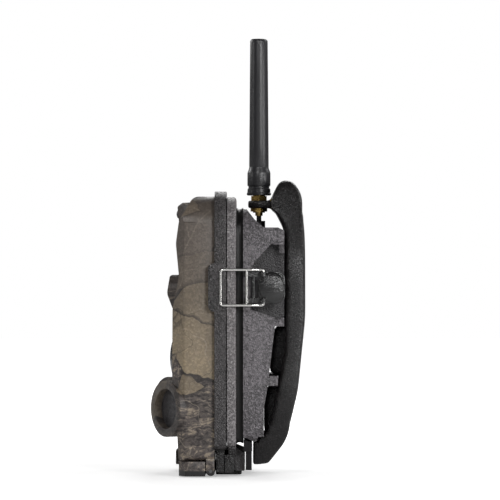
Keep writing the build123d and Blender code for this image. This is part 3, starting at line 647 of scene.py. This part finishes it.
# ---------------------------------------------------------------------------
# Antenna. A rubber whip moulded over a coupling nut that screws onto a gold plated
# jack. Both are round all through, with turned grooves and a rounded tip.
# ---------------------------------------------------------------------------
def turned(name, centre, rings, segments=72):
    """A piece turned on a lathe about Z. Rings are (height, radius) in millimetres, from the bottom up."""
    x, y = centre
    bpy.ops.object.select_all(action="DESELECT")
    bpy.ops.mesh.primitive_circle_add(vertices=segments, radius=rings[0][1] * MM, fill_type="NGON",
                                      location=(x, y, rings[0][0] * MM))
    piece = bpy.context.object
    piece.name = piece.data.name = name
    bpy.ops.object.transform_apply(location=True, rotation=True, scale=True)
    bpy.ops.object.mode_set(mode="EDIT")
    bpy.ops.mesh.select_all(action="SELECT")
    for (low, r0), (high, r1) in zip(rings, rings[1:]):
        bpy.ops.mesh.extrude_region_move(TRANSFORM_OT_translate={"value": (0, 0, (high - low) * MM)})
        bpy.ops.transform.resize(value=(r1 / r0, r1 / r0, 1), center_override=(x, y, high * MM))
    bpy.ops.mesh.select_all(action="SELECT")
    bpy.ops.mesh.normals_make_consistent(inside=False)
    bpy.ops.object.mode_set(mode="OBJECT")
    return piece


base_low, base_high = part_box("antenna_base")
whip_low, whip_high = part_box("antenna_whip")
mast = ((base_low.x + base_high.x) / 2, (base_low.y + base_high.y) / 2)
foot, neck, top = base_low.z / MM, base_high.z / MM, whip_high.z / MM
foot_r, neck_r, tip_r = (base_high.x - base_low.x) / 2 / MM, (whip_high.x - whip_low.x) / 2 / MM, 4.5
coupling = turned("antenna_coupling", mast, [
    (foot + .05, 3.3), (foot + .05, foot_r - .5), (foot + .4, foot_r - .05), (foot + 1.2, foot_r - .05),
    (foot + 1.5, foot_r - .35), (foot + 3.4, foot_r - .45), (foot + 3.8, foot_r - .9),
    (foot + 4.6, foot_r - .95), (foot + 5.0, foot_r - .45), (foot + 5.6, foot_r - .35),
    (neck - 3.2, foot_r - .38), (neck - 2.4, foot_r - .55), (neck - 1.0, neck_r + .15),
    (neck, neck_r - .05)])
whip = turned("antenna_rod", mast, [
    (neck + .02, neck_r - .1), (neck + .3, neck_r - .02), (neck + 12, neck_r - .12), (top - 20, tip_r + .16),
    (top - 1.6, tip_r), (top - .9, tip_r - .12), (top - .35, tip_r - .5), (top - .05, tip_r - 1.2),
    (top, tip_r - 2.2), (top, .4)])
rubber = moulded("antenna_rubber", (.014, .0138, .0158), .34, .6, .10, .12, rub=.1)
for piece, node in ((coupling, "antenna_base"), (whip, "antenna_whip")):
    only(piece)
    bpy.ops.object.shade_smooth_by_angle(angle=radians(40))
    stand_for(piece, node, "antenna", rubber)
dress(["antenna_jack", "jack_nut", "tripod_insert"], metal("gold_plate", (.80, .55, .18), .22, .1))

# ---------------------------------------------------------------------------
# Small fittings and the inside of the case: steel pins and clips, rubber seals
# and keys, smoked lenses, boards and cells, as bought in or moulded to size.
# ---------------------------------------------------------------------------
dress(["hinge_pin", "door_pin", "sd_slot", "port_sockets", "pir_sensors"],
      metal("satin_steel", (.17, .17, .175), .34, .3))
dress(["hinge_clips"], metal("blackened_steel", (.030, .029, .030), .36, .2))
dress(["seal_gasket", "door_seal", "cable_grommet", "coax_cable"], black_rubber_and_gap_shade)
dress([n for n in nodes if n.startswith("key_")],
      moulded("key_rubber", (.05, .05, .052), .65, .3, .2, .1, rub=.2))


def fresnel(name, colour, rough, cell):
    """Smoked lens film moulded in small facets, each a ring pattern of its own."""
    made, g, shader = material(name)
    place = place_nodes(g)
    cells = g.add("TexVoronoi", feature="F1")
    g.feed(cells, {"Vector": place, "Scale": 1 / cell, "Randomness": .35})
    rings = g.math("FRACT", g.math("MULTIPLY", cells.outputs["Distance"], 5.0))
    rim = g.step(cells.outputs["Distance"], .42, .62)
    relief = g.math("SUBTRACT", rings, rim)
    bump = g.feed(g.add("Bump"), {"Strength": .5, "Distance": .0002, "Height": relief})
    g.link(bump.outputs[0], shader.inputs["Normal"])
    pale = tuple(c * 1.7 for c in colour)
    g.link(g.mix(g.math("MULTIPLY", rim, .7), (*colour, 1), (*pale, 1)), shader.inputs["Base Color"])
    g.link(g.math("MULTIPLY_ADD", rings, .12, rough), shader.inputs["Roughness"])
    return made


dress(["pir_lens"], fresnel("pir_dome", (.007, .0068, .007), .16, 4.2))
dress(["side_lens_right", "side_lens_left", "light_sensor"],
      fresnel("smoked_lens", (.030, .028, .030), .30, 3.4))
dress(["ir_led_board", "camera_board", "main_board", "gsm_board", "port_board"],
      moulded("solder_mask", (.010, .085, .035), .3, .8, .1, .1, rub=0))
dress(["lens_barrel", "sd_card", "sim_card", "power_switch"], moulded("black_abs", (.012, .012, .012), .4))
dress(["inner_panel", "front_battery_cover", "rear_battery_tray", "rear_battery_cover"],
      moulded("inner_abs", (.035, .035, .036), .5, .5, .3, .2))
dress(["lcd_screen"], moulded("lcd_grey", (.03, .04, .038), .12, 2, .01, .02, rub=0))
dress(["front_cells", "rear_cells"], moulded("cell_jacket", (.03, .04, .07), .25, 2, .02, .05, rub=0))


def bezel(name, node, grow, rise, width, finish):
    """A turned ring round a window's edge: a slope, a rounded lip and a step down to the glass."""
    low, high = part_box(node)
    middle, radius = (low + high) / 2, (high.x - low.x) / 2 + grow
    bpy.ops.object.select_all(action="DESELECT")
    bpy.ops.mesh.primitive_circle_add(vertices=96, radius=radius, rotation=(radians(90), 0, 0),
                                      location=(middle.x, low.y + .3 * MM, middle.z))
    ring = bpy.context.object
    ring.name = ring.data.name = name
    bpy.ops.object.transform_apply(location=True, rotation=True, scale=True)
    centre = (middle.x, low.y, middle.z)
    bpy.ops.object.mode_set(mode="EDIT")
    bpy.ops.mesh.select_all(action="SELECT")
    now = radius
    for share, lift in ((.25, rise), (.40, .25 * rise), (.35, -.8 * rise)):
        bpy.ops.mesh.extrude_edges_move(TRANSFORM_OT_translate={"value": (0, -lift, 0)})
        factor = (now - share * width) / now
        bpy.ops.transform.resize(value=(factor, 1, factor), center_override=centre)
        now -= share * width
    bpy.ops.object.mode_set(mode="OBJECT")
    wall = ring.modifiers.new("wall", "SOLIDIFY")
    wall.thickness, wall.offset = .35 * MM, 0
    rim = ring.modifiers.new("rim", "BEVEL")
    rim.width, rim.segments, rim.limit_method = .1 * MM, 2, "ANGLE"
    apply_modifiers(ring)
    bpy.ops.object.mode_set(mode="EDIT")
    bpy.ops.mesh.select_all(action="SELECT")
    bpy.ops.mesh.normals_make_consistent(inside=False)
    bpy.ops.object.mode_set(mode="OBJECT")
    bpy.ops.object.shade_smooth_by_angle(angle=radians(35))
    ring.data.materials.append(finish)
    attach(ring, "front_case")


ring_black = moulded("bezel_black", (.006, .006, .006), .18, .6, .05, .1, rub=.3)
bezel("lens_bezel", "lens_window", .1 * MM, .5 * MM, 1.8 * MM, ring_black)


def clear(name, colour, rough, ior=1.49):
    """Clear or tinted plastic or glass, with a faint smear."""
    made, g, shader = material(name)
    smear = g.step(g.noise(place_nodes(g), .2, 4, .6), .4, .8)
    g.link(g.math("MULTIPLY_ADD", smear, .06, rough), shader.inputs["Roughness"])
    shader.inputs["Base Color"].default_value = (*colour, 1)
    shader.inputs["Transmission Weight"].default_value = 1.0
    shader.inputs["IOR"].default_value = ior
    return made


dress(["ir_window"], clear("infrared_pane", (.16, .05, .06), .03))
dress(["lens_window", "lens_glass"], clear("coated_glass", (.93, .95, 1.0), .01))
dress(["ir_leds"], clear("clear_epoxy", (.95, .95, .98), .03, 1.52))
